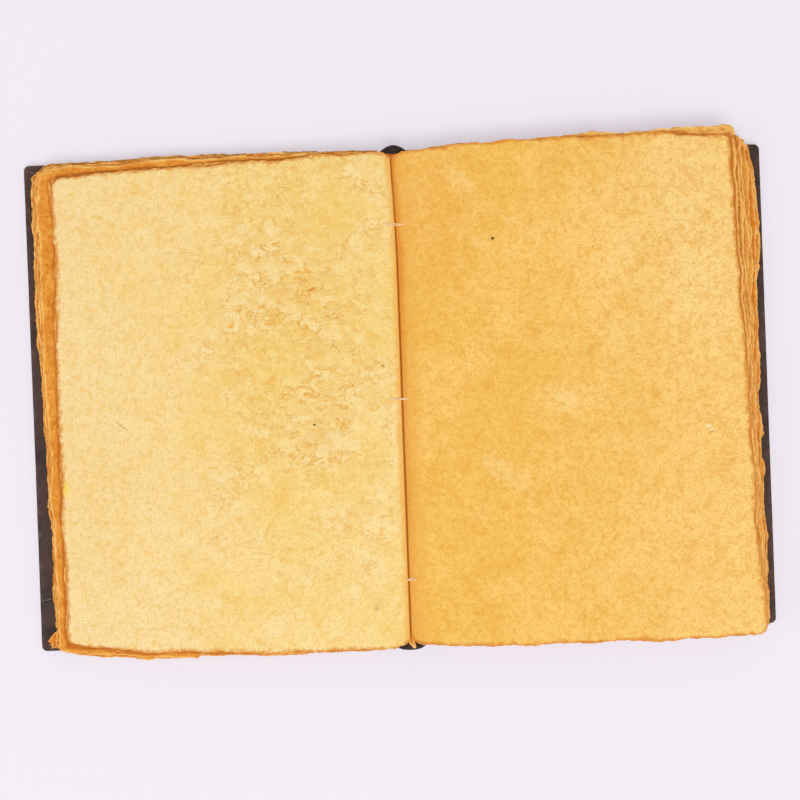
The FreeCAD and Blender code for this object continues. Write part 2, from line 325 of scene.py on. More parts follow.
def leaf_edges(half, index):
    """The three torn edges of a leaf as functions: head(x), tail(x) and fore(y)."""
    share = leaf_share(half, index)
    seed = leaf_seed(half, index)
    depth = TOP_TEAR if index == half.leaves else TEAR
    rng = np.random.default_rng(seed)
    slip = 0.0 if index == half.leaves else 0.16
    slip_head, slip_tail, slip_fore = slip * rng.normal(0, 1, 3)
    group = half.seed * 100 + 7 * leaf_group(half, index)

    def head(x):
        if index == half.leaves:
            line = half.line("show_head", x)
        else:
            # At the back's head the last group stands as high as the edge can.
            raised = half is BACK and share == BACK_GROUPS[-1]
            line = mixed(half, "head", x, 1.0 if raised else share) + slip_head
        return line + torn_edge(x, group + 1, seed + 10, depth)

    def tail(x):
        return mixed(half, "tail", x, share) + slip_tail + torn_edge(x, group + 2, seed + 20, depth)

    def fore(y):
        line = mixed(half, "fore", y, share) + slip_fore + torn_edge(y, group + 3, seed + 30, depth)
        if half is BACK and index in (5, 6):
            # Two scraps that were left hanging when the sheets were torn.
            line = line + 2.0 * np.clip(1 - np.abs(y + 31) / 6, 0, 1) ** 0.7
            line = line + 1.1 * np.clip(1 - np.abs(y + 17.8) / 2.2, 0, 1) ** 0.7
        if half is FRONT and index in (2, 3, 4):
            line = line + 3.9 * np.clip(1 - np.abs(y + 84.8) / (2.2 + 0.4 * index), 0, 1) ** 0.8
        return line

    return head, tail, fore


def at(line, place):
    return float(line(np.array([place]))[0])


def leaf_outline(half, index, inner):
    """Closed outline of a leaf in plan, on the +X side, anticlockwise from the gutter's tail
    end, and how far in from it the next group's leaf begins."""
    seed, spacing = leaf_seed(half, index), half.spacing
    head, tail, fore = leaf_edges(half, index)
    head_above, tail_above, fore_above = edges_above(half, index)
    rng = np.random.default_rng(seed + 5)
    corner_tail, corner_head = rng.uniform(2.5, 4.5, 2)
    if half is FRONT:
        corner_head += 5.5 * (1 - leaf_share(half, index))
        corner_tail = 1.5 if index in (2, 3, 4) else corner_tail
    if half is BACK:
        corner_head += 2.0 * (1 - leaf_share(half, index))
    x_tail = at(fore, -84.0) - corner_tail
    x_head = at(fore, 84.0) - corner_head
    start = inner + 0.8
    xs = np.arange(start, x_tail, spacing)
    points = [np.stack([xs, -tail(xs)], 1)]
    gaps = [tail(xs) - tail_above(xs)]
    y_tail = at(tail, x_tail)
    y_head = at(head, x_head)
    turn = np.linspace(0, np.pi / 2, 10)[1:-1]
    unknown = np.full(len(turn), np.nan)
    rough = 0.35 * wander(np.arange(len(turn)) * spacing, seed + 6, 5, 2, 3)
    points.append(np.stack([x_tail + (corner_tail + rough) * np.sin(turn),
                            -y_tail + corner_tail - (corner_tail + rough) * np.cos(turn)], 1))
    gaps.append(unknown)
    ys = np.arange(-y_tail + corner_tail, y_head - corner_head, spacing)
    points.append(np.stack([fore(ys), ys], 1))
    gaps.append(fore(ys) - fore_above(ys))
    points.append(np.stack([x_head + (corner_head + rough) * np.cos(turn),
                            y_head - corner_head + (corner_head + rough) * np.sin(turn)], 1))
    gaps.append(unknown)
    xs = np.arange(start, x_head, spacing)[::-1]
    points.append(np.stack([xs, head(xs)], 1))
    gaps.append(head(xs) - head_above(xs))
    notch = 1.6
    y1 = at(head, start) - notch
    y0 = -at(tail, start) + notch
    ys = np.linspace(y1, y0, 24)
    points.append(np.stack([np.full_like(ys, inner), ys], 1))
    gaps.append(np.full(len(ys), 0.0))
    gap = np.concatenate(gaps)
    known = ~np.isnan(gap)
    gap = np.interp(np.arange(len(gap)), np.flatnonzero(known), gap[known])
    return np.concatenate(points), gap


def edges_above(half, index):
    """The edges of the lowest leaf in the group above a leaf's."""
    above = index + 1
    while above < half.leaves and leaf_group(half, above) == leaf_group(half, index):
        above += 1
    return leaf_edges(half, above)


def leaf_rings(half, index):
    """A leaf under the top one, as a band round its edges, thinned out where it is torn."""
    share = (index + 0.5) / (half.leaves + 1)
    middle = BLOCK_BASE + share * (SECTION_TOP - BLOCK_BASE)
    inner = float(arch_edge(np.array(middle), 0.7)) + 0.15
    outline, gap = leaf_outline(half, index, inner)
    seed = leaf_seed(half, index)
    rng = np.random.default_rng(seed + 7)
    low = np.array([inner + 1.5, outline[:, 1].min() + BORDER])
    high = np.array([outline[:, 0].max() - BORDER, outline[:, 1].max() - BORDER])
    goal = np.clip(outline, low, high)
    goal = goal + 0.02 * (outline - goal)
    along = np.arange(len(outline)) * half.spacing
    flutter = 0.07 * wander(along, seed + 8, 30, 6, 4) + rng.uniform(-0.02, 0.02)
    rings, depth_of = [], []
    # Depth in from the torn edge, and how much of the leaf's thickness is there.
    steps = ((0.0, -0.12), (0.8, -0.5), (BORDER, -0.5),
             (BORDER, 0.5), (5.5, 0.5), (2.0, 0.5), (0.8, 0.36), (0.0, 0.12))
    for depth, level in steps:
        t = depth / BORDER
        plan = outline + t * (goal - outline)
        x, y = plan[:, 0], plan[:, 1]
        bed = BLOCK_BASE + share * (page_top(x, half.rise) - BLOCK_BASE)
        swell = sheet_swell(x, y, half.rise) * share
        if half is BACK:
            bed = bed - share * gutter_dip(x)
        z = bed + swell + flutter * (1 - t) + level * LEAF_THICKNESS
        rings.append(np.stack([half.side * x, y, z], 1))
        depth_of.append(np.full(len(outline), depth))
    gap_of = np.broadcast_to(gap, (len(rings), len(gap)))
    return np.array(rings), np.array(depth_of), gap_of


def pages_below(half, name, material):
    """Every leaf of a half under its top leaf, with a plain core that fills them."""
    shells = Shells()
    for index in range(half.leaves):
        rings, depth, gap = leaf_rings(half, index)
        rows, columns = rings.shape[:2]
        faces = grid_faces(rows, columns, wrap=True, flip=half.side < 0)
        last = columns * (rows - 1)
        closing = [(last + c, last + (c + 1) % columns, (c + 1) % columns, c)
                   for c in range(columns)]
        faces += turned(closing, half.side < 0)
        tone = np.random.default_rng(leaf_seed(half, index) + 9).uniform(-1, 1)
        shells.add(rings.reshape(-1, 3), faces, depth=depth.ravel(), gap=gap.ravel(), tone=tone,
                   level=(index + 1) / (half.leaves + 1), from_fold=OUT_OF_REACH)
    add_core(shells, half)
    return shells.build(name, material)


def add_core(shells, half):
    """Plain paper that fills the middle of a half, out of sight."""
    inset = BORDER - 3.0
    inner, outer, y = 9.0, 122.0 - inset, 84.0 - inset
    top_share = (half.leaves - 0.5) / (half.leaves + 1)
    rings = []
    for x in inner + np.linspace(0, 1, 14) * (outer - inner):
        top = BLOCK_BASE + top_share * (float(page_top(np.array(x), half.rise)) - BLOCK_BASE)
        rings.append([(half.side * x, -y, BLOCK_BASE + 0.05), (half.side * x, y, BLOCK_BASE + 0.05),
                      (half.side * x, y, top), (half.side * x, -y, top)])
    verts, faces = loft(rings)
    faces = turned(faces, half.side > 0)
    shells.add(verts, faces, depth=BORDER, gap=0.0, tone=0.0, level=0.5, from_fold=OUT_OF_REACH)


def top_leaf(half, name, material, columns, rows):
    """The leaf on show, as a fine closed sheet with wrinkles and torn, thinned edges."""
    head, tail, fore = leaf_edges(half, half.leaves)
    u = np.linspace(0, 1, columns)
    u = u - 0.06 * np.sin(2 * np.pi * u) / (2 * np.pi)
    v = np.linspace(0, 1, rows)
    U, W = np.meshgrid(u, v)
    tail_end, head_end = half.line("top_tail", 124.0), half.line("show_head", 124.0)
    span_y = -tail_end + v * (head_end + tail_end)
    fore_smooth = half.line("top_fore", span_y)
    fore_torn = fore(span_y) - fore_smooth
    # Outer corners are rounded by drawing the fore-edge in near head and tail.
    corner = 2.6 if half is BACK else 4.0
    near = np.minimum(v, 1 - v) * 176
    drawn = corner - np.sqrt(np.clip(corner ** 2 - np.clip(corner - near, 0, None) ** 2, 0, None))
    x_end = (fore_smooth - drawn)[:, None]
    inner = (TOP_LEAF_INNER + half.side * gutter_drift(span_y))[:, None]
    X = inner + U * (x_end - inner)
    across = (1 - U) * (x_end - inner)
    X = X + fore_torn[:, None] * np.exp(-across / 1.8)
    xs = TOP_LEAF_INNER + u * (half.line("top_fore", 0.0) - TOP_LEAF_INNER)
    head_smooth = half.line("show_head", xs)
    tail_smooth = half.line("top_tail", xs)
    head_torn = head(xs) - head_smooth
    tail_torn = tail(xs) - tail_smooth
    Y = -tail_smooth[None, :] + W * (head_smooth + tail_smooth)[None, :]
    to_head = head_smooth[None, :] - Y
    to_tail = Y + tail_smooth[None, :]
    Y = (Y + head_torn[None, :] * np.exp(-to_head / 1.8)
         - tail_torn[None, :] * np.exp(-to_tail / 1.8))
    depth = np.minimum(np.minimum(to_head, to_tail), across)
    depth = np.clip(depth, 0, None)
    Z = page_top(X, half.rise) + sheet_swell(X, Y, half.rise)
    Z += 0.012 * relief(X, Y, half.seed + 2, 4.5, 24)
    curl = wander(Y, 43, 60, 14, 4) * np.exp(-across / 7)
    Z += 0.10 * half.rise * curl
    if half is BACK:
        Z -= gutter_dip(X - inner)
    Z -= 0.05
    thin = 0.3 + 0.7 * (1 - np.exp(-depth / 0.9))
    half_thick = 0.5 * LEAF_THICKNESS * thin
    top = np.stack([half.side * X, Y, Z - 0.5 * LEAF_THICKNESS + half_thick], -1)
    under = np.stack([half.side * X, Y, Z - 0.5 * LEAF_THICKNESS - half_thick], -1)
    verts, faces = closed_sheet(top, under, half.side < 0)
    count = rows * columns
    from_fold = (X - inner).ravel()
    return make_object(name, verts, faces, material,
                       {"depth": np.tile(depth.ravel(), 2), "gap": np.full(2 * count, OUT_OF_REACH),
                        "tone": np.zeros(2 * count), "level": np.ones(2 * count),
                        "from_fold": np.tile(from_fold, 2)})


# Cover leather.

def spine_path():
    """Line through the middle of the spine leather, from the back cover over the crest to
    the front cover, as points (x, z) and upward normals."""
    half = LEATHER / 2
    bow = np.linspace(0.12, np.pi / 2, BOW_POINTS)
    xs = (ARCH_HALF_WIDTH - half) * np.cos(bow)
    zs = (BOW_CREST - half) * np.sin(bow)
    # A short sweep joins the bow to the flat cover.
    sweep = np.linspace(0, 1, 7)[:-1]
    foot_x, foot_z = xs[0], zs[0]
    flat = half + 0.03
    bx = (1 - sweep) ** 2 * FLAT_FROM + 2 * sweep * (1 - sweep) * 6.9 + sweep ** 2 * foot_x
    bz = (1 - sweep) ** 2 * flat + 2 * sweep * (1 - sweep) * flat + sweep ** 2 * foot_z
    x = np.concatenate([bx, xs, -xs[-2::-1], -bx[::-1]])
    z = np.concatenate([bz, zs, zs[-2::-1], bz[::-1]])
    dx, dz = np.gradient(x), np.gradient(z)
    size = np.hypot(dx, dz)
    return x, z, dz / size, -dx / size


def spine_ends(x):
    """How far the spine leather reaches to head and to tail, at a distance from the gutter.
    Its tail end is flatter and a little longer."""
    fall = min(abs(x) / 8.2, 1.0)
    reach = SPINE_HALF - COVER_HALF_HEIGHT
    head = COVER_HALF_HEIGHT + reach * math.cos(math.pi / 2 * fall) ** 2
    tail = COVER_HALF_HEIGHT + (reach + 0.5) * math.cos(math.pi / 2 * fall ** 2.4) ** 2
    return head, tail


def add_spine(shells):
    x, z, nx, nz = spine_path()
    rings = []
    for px, pz, ax, az in zip(x, z, nx, nz):
        head, tail = spine_ends(px)
        inside = np.array([-1, -0.8, -0.5, -0.2, 0, 0.2, 0.5, 0.8, 1])
        inside = inside * np.where(inside < 0, tail - 2.0, head - 2.0)
        loop = [(y, -0.5 * LEATHER) for y in inside]
        # Over the end and back: the leather is turned in, which makes the lip thick.
        over = ((2.0, -0.5), (1.0, -0.5), (0.45, -0.36), (0.1, -0.05), (0.0, 0.3), (0.12, 0.68),
                (0.5, 0.98), (1.1, 1.08), (4.0, 1.05), (12.0, 0.98), (17.0, 0.9), (18.2, 0.5))
        loop = loop[:-1] + [(head - d, t * LEATHER) for d, t in over]
        back = [(y, 0.5 * LEATHER) for y in inside[1:-1][::-1] if abs(y) < head - 22]
        loop += back + [(-(tail - d), t * LEATHER) for d, t in over[::-1]][:-1]
        rings.append([(px + ax * t, y, pz + az * t) for y, t in loop])
    verts, faces = loft(rings)
    # The attribute is 0 near head and tail, where the leather material paints shade; elsewhere it sets how
    # much rubbing shows.
    shells.add(verts, faces, wear=np.where(np.abs(verts[:, 1]) > LIP_FROM, 0.0, 0.35))


def cover_outline(inset, spine_edge, side, arc=9, step=3.0):
    """Open path round a cover's tail, fore-edge and head, drawn in by inset."""
    radius = max(COVER_CORNER - inset, 0.02)
    ex = COVER_HALF_WIDTH - inset
    ey = COVER_HALF_HEIGHT - inset
    cx, cy = ex - radius, ey - radius
    full_x = COVER_HALF_WIDTH - COVER_CORNER
    full_y = COVER_HALF_HEIGHT - COVER_CORNER
    xs = spine_edge + np.arange(0, 1.0, step / (full_x - spine_edge)) * (cx - spine_edge)
    turn = np.linspace(0, np.pi / 2, arc)
    ys = np.arange(0, 1.0, step / (2 * full_y))[1:] * 2 * cy - cy
    tail = np.stack([xs, np.full_like(xs, -ey)], 1)
    low = np.stack([cx + radius * np.sin(turn), -cy - radius * np.cos(turn)], 1)
    side_line = np.stack([np.full_like(ys, ex), ys], 1)
    high = np.stack([cx + radius * np.cos(turn), cy + radius * np.sin(turn)], 1)
    head = np.stack([xs[::-1], np.full_like(xs, ey)], 1)
    path = np.concatenate([tail, low, side_line, high, head])
    if side < 0:
        out = np.clip((path[:, 1] + 20) / 109, 0, 1) * np.clip((path[:, 0] - 20) / 110, 0, 1)
        path = path + np.outer(out, HEAD_CORNER_OUT)
    path[:, 0] *= side
    return path


def add_cover(shells, side, seed):
    """One cover's leather: a flat panel, and edges that wrap the board and turn in."""
    r = LEATHER_ROUND
    turn = [k * np.pi / 8 for k in range(1, 4)]
    profile = [(TURN_IN_WIDTH + 2, 0.0), (8.0, 0.0), (2.0, 0.0), (r, 0.0)]
    profile += [(r - r * math.sin(a), r - r * math.cos(a)) for a in turn]
    profile += [(0.0, r), (0.0, 2.0), (0.0, TURN_IN_TOP - r)]
    profile += [(r - r * math.cos(a), TURN_IN_TOP - r + r * math.sin(a)) for a in turn]
    profile += [(r, TURN_IN_TOP), (2.0, TURN_IN_TOP + 0.02), (5.0, TURN_IN_TOP),
                (TURN_IN_WIDTH - 1.5, BOARD_TOP + SKIVED_EDGE + 0.1),
                (TURN_IN_WIDTH, BOARD_TOP + 0.02), (TURN_IN_WIDTH - 2, BOARD_TOP + 0.01),
                (LEATHER, BOARD_TOP), (LEATHER, LEATHER), (TURN_IN_WIDTH + 2, LEATHER)]
    spine_edge = 7.4
    loops = []
    for inset, z in profile:
        path = cover_outline(inset, spine_edge, side)
        top = z > TURN_IN_TOP - 1.0 and inset < 12
        lump = 0.05 * relief(path[:, 0], path[:, 1], seed, 9) if top else 0.0
        loops.append(np.column_stack([path, np.full(len(path), z) + lump]))
    rings = np.transpose(np.array(loops), (1, 0, 2))
    verts, faces = loft(rings)
    wear = np.tile([1.0 if 0 < i < len(profile) and p[0] < 1.0 and p[1] > LEATHER else 0.25
                    for i, p in enumerate(profile)], len(rings))
    shells.add(verts, turned(faces, side < 0), wear=wear)
    inner = cover_outline(TURN_IN_WIDTH + 2, FLAT_FROM - 1, side)
    rings = [np.column_stack([inner, np.full(len(inner), z)]) for z in (0.0, LEATHER)]
    verts, faces = loft(rings)
    shells.add(verts, turned(faces, side < 0), wear=0.25)


# Materials.

class Nodes:
    """Short helpers for building one material's node tree."""

    def __init__(self, name):
        self.material = bpy.data.materials.new(name)
        self.material.use_nodes = True
        self.tree = self.material.node_tree
        self.tree.nodes.clear()
        self.out = self.node("ShaderNodeOutputMaterial")
        self.shader = self.node("ShaderNodeBsdfPrincipled")
        self.link(self.shader.outputs[0], self.out.inputs[0])
        self.coords = self.node("ShaderNodeTexCoord").outputs["Object"]

    def link(self, a, b):
        self.tree.links.new(a, b)

    def put(self, socket, value):
        if isinstance(value, bpy.types.NodeSocket):
            self.link(value, socket)
        else:
            socket.default_value = value

    def node(self, kind, **values):
        """A new node. Its inputs are set or linked by their names, with _ for a space."""
        node = self.tree.nodes.new(kind)
        for name, value in values.items():
            self.put(node.inputs[name.replace("_", " ")], value)
        return node

    def stretched(self, x, y, z, turn):
        turn = (0, 0, math.radians(turn))
        return self.node("ShaderNodeMapping", Vector=self.coords, Rotation=turn,
                         Scale=(x, y, z)).outputs[0]

    def noise(self, size_mm, detail=4.0, rough=0.55, distortion=0.0, vector=None):
        return self.node("ShaderNodeTexNoise", Vector=vector or self.coords,
                         Scale=1000.0 / size_mm, Detail=detail, Roughness=rough,
                         Distortion=distortion).outputs[0]

    def attribute(self, name):
        node = self.node("ShaderNodeAttribute")
        node.attribute_name = name
        return node.outputs["Fac"]

    def span(self, value, low, high, to_low=0.0, to_high=1.0):
        return self.node("ShaderNodeMapRange", Value=value, From_Min=low, From_Max=high,
                         To_Min=to_low, To_Max=to_high).outputs[0]

    def math(self, kind, a, b=0.0):
        node = self.node("ShaderNodeMath")
        node.operation = kind
        self.put(node.inputs[0], a)
        self.put(node.inputs[1], b)
        return node.outputs[0]

    def plus(self, a, b):
        return self.math("ADD", a, b)

    def minus(self, a, b):
        return self.math("SUBTRACT", a, b)

    def times(self, a, b):
        return self.math("MULTIPLY", a, b)

    def mix(self, share, a, b):
        node = self.node("ShaderNodeMix")
        node.data_type = "RGBA"
        self.put(node.inputs[0], share)
        for socket, value in ((node.inputs[6], a), (node.inputs[7], b)):
            self.put(socket, value if isinstance(value, bpy.types.NodeSocket) else (*value, 1.0))
        return node.outputs[2]

    def axes(self):
        """The place on the book along x and y, in millimetres."""
        node = self.node("ShaderNodeSeparateXYZ", Vector=self.coords)
        return self.times(node.outputs[0], 1000.0), self.times(node.outputs[1], 1000.0)

    def lines(self, along, pitch_mm, sway):
        """Faint parallel lines across an axis, one to each pitch."""
        turn = self.times(along, 2 * math.pi / pitch_mm)
        turn = self.plus(turn, self.times(sway, 9.0))
        return self.math("SINE", turn)

    def spot(self, x, y, place, size, sway=None, turn=0.0, soft=True):
        """1 within an ellipse at a place and 0 outside, with a soft and ragged edge."""
        dx = self.minus(x, place[0])
        dy = self.minus(y, place[1])
        c, s = math.cos(math.radians(turn)), math.sin(math.radians(turn))
        a = self.plus(self.times(dx, c), self.times(dy, s))
        b = self.minus(self.times(dy, c), self.times(dx, s))
        a = self.math("POWER", self.math("ABSOLUTE", self.math("DIVIDE", a, size[0])), 2.0)
        b = self.math("POWER", self.math("ABSOLUTE", self.math("DIVIDE", b, size[1])), 2.0)
        far = self.math("SQRT", self.plus(a, b))
        if sway is not None:
            far = self.plus(far, sway)
        return self.span(far, 1.6, 0.2) if soft else self.span(far, 1.25, 0.75)

    def bump(self, height, strength, distance_mm, before=None):
        node = self.node("ShaderNodeBump", Height=height, Strength=strength,
                         Distance=distance_mm * MM)
        if before is not None:
            self.link(before, node.inputs["Normal"])
        return node.outputs[0]

    def finish(self, colour, roughness, normal=None, specular=0.3):
        self.put(self.shader.inputs["Base Color"], colour)
        self.put(self.shader.inputs["Roughness"], roughness)
        self.shader.inputs["Specular IOR Level"].default_value = specular
        if normal is not None:
            self.link(normal, self.shader.inputs["Normal"])
        return self.material


def rgb(red, green, blue):
    """A colour named by its 0-255 display values, as the linear values shaders take."""
    out = []
    for c in (red, green, blue):
        c /= 255
        out.append(c / 12.92 if c <= 0.04045 else ((c + 0.055) / 1.055) ** 2.4)
    return tuple(out)


PALE_STAIN = rgb(255, 222, 148)
RUST = rgb(236, 162, 66)
TEA = rgb(240, 184, 84)
BROWN = rgb(150, 84, 30)
DARK = rgb(84, 56, 34)

# Stains and fibres on the two pages, and one painted shadow: place, half sizes, turn in degrees, colour,
# strength, ragged.
FRONT_MARKS = (
    ((-32.2, -8.9), (0.5, 0.35), 20, DARK, 0.9, False),
    ((-6.5, 11.5), (0.8, 0.3), -40, BROWN, 0.6, False),
    ((-11.9, -76.5), (0.9, 0.8), 0, rgb(170, 140, 70), 0.5, True),
    ((-11.0, -75.0), (2.6, 1.8), 30, rgb(232, 190, 112), 0.4, True),
    ((-123.2, -28.8), (1.3, 2.2), 0, rgb(250, 222, 60), 0.7, True),
    ((-102.1, -7.0), (2.9, 0.16), -36, BROWN, 0.55, False),
    ((-41.2, 38.6), (5.5, 3.6), 15, TEA, 0.30, True),
    ((-30.7, 17.4), (4.2, 3.0), -20, TEA, 0.30, True),
    ((-29.0, 50.0), (5.0, 2.0), 30, TEA, 0.30, True),
    ((-24.0, 66.0), (4.0, 1.6), -25, TEA, 0.35, True),
    ((-33.0, -14.0), (4.5, 2.6), 10, TEA, 0.35, True),
    ((-44.0, -34.0), (5.0, 2.0), 40, TEA, 0.30, True),
    ((-31.6, 40.2), (1.6, 0.5), 20, rgb(222, 142, 56), 0.85, False),
)
BACK_MARKS = (
    ((34.9, 56.3), (0.62, 0.5), 0, DARK, 0.95, False),
    ((71.0, 52.0), (0.5, 0.2), 60, BROWN, 0.7, False),
    ((58.9, -3.3), (5.2, 3.2), -25, PALE_STAIN, 0.60, True),
    ((38.0, -29.7), (6.5, 3.4), -35, PALE_STAIN, 0.38, True),
    ((32.0, -24.0), (3.5, 3.0), 20, PALE_STAIN, 0.30, True),
    ((24.0, 78.0), (5.0, 2.2), -40, PALE_STAIN, 0.40, True),
    ((30.0, 55.0), (3.0, 1.6), -35, PALE_STAIN, 0.35, True),
    ((41.0, 63.0), (3.4, 1.4), -30, PALE_STAIN, 0.35, True),
    ((80.0, 20.0), (7.0, 4.0), 40, PALE_STAIN, 0.30, True),
    # A curl of pale fibre, drawn flat: two pale spots and two thin arcs; the brown arc below is the curl's
    # painted shadow.
    ((111.0, -14.8), (1.5, 0.9), -40, rgb(255, 226, 168), 0.70, False),
    ((112.1, -15.9), (0.8, 0.7), 0, rgb(255, 226, 168), 0.60, False),
    ((111.9, -16.6), (1.1, 0.25), 25, BROWN, 0.5, False),
    ((111.3, -15.2), (0.8, 0.2), -40, rgb(226, 160, 84), 0.6, False),
    ((72.5, 90.5), (3.4, 1.5), -30, RUST, 0.55, True),
    ((106.0, 77.0), (5.0, 0.9), -48, RUST, 0.45, True),
    ((58.0, 84.0), (5.0, 1.6), 5, RUST, 0.35, True),
)

# Broad changes of tone on the back's page: place, half sizes, colour, strength.
BACK_TONES = (
    ((104.0, 62.0), (20.0, 32.0), rgb(255, 226, 158), 0.65),
    ((14.0, 62.0), (13.0, 28.0), rgb(234, 164, 58), 0.42),
)


def margin_colour(n, depth, level, felt, mottle, paler_above):
    """Margins of the leaves under the one on show: orange, with painted shade where the next leaf's edge
    overhangs, a rim that is partly paler torn fibre and partly painted highlight, and, where paler_above
    holds, paler in the upper leaves."""
    colour = n.mix(n.span(mottle, 0.38, 0.62), rgb(242, 164, 62), rgb(220, 126, 32))
    if paler_above:
        colour = n.mix(n.span(level, 0.40, 0.85, 0, 0.7), colour, rgb(246, 196, 110))
    colour = n.mix(n.span(n.attribute("tone"), -1, 1, 0, 0.35), colour, rgb(242, 180, 84))
    colour = n.mix(n.span(felt, 0.48, 0.66, 0, 0.75), colour, rgb(206, 108, 20))
    # Along the rim: partly paler torn fibre, partly a painted highlight where the thin edge catches the
    # light.
    rim = n.span(n.minus(depth, n.span(felt, 0.35, 0.65, -0.3, 0.4)), 0.75, 0.25, 0, 0.9)
    frayed_and_highlight = n.times(rim, n.span(mottle, 0.62, 0.40, 0.25, 1.0))
    colour = n.mix(frayed_and_highlight, colour, rgb(255, 204, 116))
    # Painted shade: darker where the next group's leaf overhangs this one's margin.
    under = n.plus(n.minus(n.attribute("gap"), depth), n.span(felt, 0.3, 0.7, -0.35, 0.35))
    return n.mix(n.span(under, 1.0, -0.1, 0, 0.8), colour, rgb(190, 98, 24))


def paper(name, pale, mid, deep, edge, ribs, gutter_reach, marks, tones=()):
    """Tea-stained handmade cotton paper: mottled, veined and speckled, and orange where
    its torn edges have soaked up more tea, with painted shade in the gutter and between the edges of the
    leaves."""
    n = Nodes(name)
    x, y = n.axes()
    from_gutter = n.math("ABSOLUTE", x)
    cloud = n.noise(26, 4, 0.55, 0.6)
    mottle = n.noise(6.5, 6, 0.70, 0.8)
    felt = n.noise(2.0, 4, 0.66, 0.5)
    speck = n.noise(0.75, 2, 0.6)
    colour = n.mix(n.span(cloud, 0.38, 0.62), pale, mid)
    colour = n.mix(n.span(from_gutter, 40, 122, 0, 0.62), colour, edge)
    for place, size, tint, strength in tones:
        inside = n.spot(x, y, place, size, n.span(cloud, 0.3, 0.7, -0.4, 0.4))
        colour = n.mix(n.times(inside, strength), colour, tint)
    for grain, dark, light in ((mottle, (0.50, 0.70, 0, 0.60), (0.47, 0.28, 0, 0.75)),
                               (felt, (0.50, 0.68, 0, 0.62), (0.46, 0.30, 0, 0.42)),
                               (speck, (0.50, 0.68, 0, 0.60), (0.46, 0.30, 0, 0.42))):
        colour = n.mix(n.span(grain, *dark), colour, deep)
        colour = n.mix(n.span(grain, *light), colour, pale)
    # Thin veins where the wet sheet was creased, and stains that gathered beside them.
    crease = n.noise(5.5, 5, 0.62, 0.7, n.stretched(1.0, 1.4, 1.0, 35.0))
    fold = n.math("ABSOLUTE", n.minus(crease, 0.5))
    vein = n.span(fold, 0.040, 0.006)
    patchy = n.span(n.noise(5, 3, 0.6), 0.42, 0.56)
    if ribs:
        here = n.spot(x, y, (-37.0, 28.0), (36.0, 76.0), n.span(cloud, 0.3, 0.7, -0.6, 0.6))
        vein_share = n.times(vein, n.span(here, 0, 1, 0.12, 1.0))
        pooled = n.span(crease, 0.50, 0.62, 0, 0.55)
        colour = n.mix(n.times(pooled, here), colour, deep)
        raised = n.span(crease, 0.47, 0.36, 0, 0.28)
        colour = n.mix(n.times(raised, here), colour, pale)
    else:
        vein_share = n.times(vein, 0.45)
    colour = n.mix(n.times(vein_share, patchy), colour, rgb(232, 168, 62))
    height = felt
    if ribs:
        sway = n.noise(9, 4, 0.6)
        laid = n.plus(n.lines(y, 1.05, sway), n.times(n.lines(x, 1.3, sway), 0.8))
        height = n.plus(felt, n.times(laid, 0.03))
        faint = n.times(n.span(cloud, 0.64, 0.40), n.span(mottle, 0.60, 0.40))
        rib_share = n.times(n.span(laid, -0.2, 1.8, 0, ribs), faint)
        colour = n.mix(rib_share, colour, deep)
    for place, size, turn, tint, strength, ragged in marks:
        sway = n.span(felt, 0.3, 0.7, -1.0, 1.0) if ragged else None
        inside = n.spot(x, y, place, size, sway, turn, ragged)
        colour = n.mix(n.times(inside, strength), colour, tint)
    depth = n.attribute("depth")
    from_fold = n.attribute("from_fold")
    waver = n.plus(from_fold, n.span(mottle, 0.3, 0.7, -1.0, 1.0))
    # Beside the fold of the back's page: an orange strip, partly tea stain and partly painted shade where
    # the page dips into the gutter; its inner part is stronger towards the head.
    if gutter_reach:
        colour = n.mix(n.span(waver, gutter_reach + 3.5, gutter_reach - 3.5, 0, 0.6), colour, RUST)
        strength = n.times(n.span(waver, 2.6, 0.8), n.span(y, -60, 45, 0.12, 0.6))
        colour = n.mix(strength, colour, rgb(222, 130, 34))
    else:
        colour = n.mix(n.span(waver, 2.6, 0.7, 0, 0.85), colour, rgb(243, 180, 82))
    # Painted shade: brown within half a millimetre of the fold, the dark line at the bottom of the gutter.
    colour = n.mix(n.span(from_fold, 0.50, 0.05, 0, 0.9), colour, rgb(186, 92, 10))
    # Torn edge of the leaf on show: a thin line of soaked-up stain.
    ragged = n.minus(depth, n.span(felt, 0.35, 0.7, 0, 1.3))
    colour = n.mix(n.span(ragged, 0.8, -0.3, 0, 0.85), colour, rgb(222, 140, 52))
    level = n.attribute("level")
    margin = margin_colour(n, depth, level, felt, mottle, bool(gutter_reach))
    colour = n.mix(n.span(level, 0.985, 0.995), margin, colour)
    normal = n.bump(speck, 0.40, 0.10)
    normal = n.bump(height, 0.55, 0.30, normal)
    normal = n.bump(mottle, 0.35, 0.5, normal)
    if ribs:
        normal = n.bump(n.times(fold, here), 0.6, 1.4, normal)
    return n.finish(colour, 0.9, normal, 0.12)


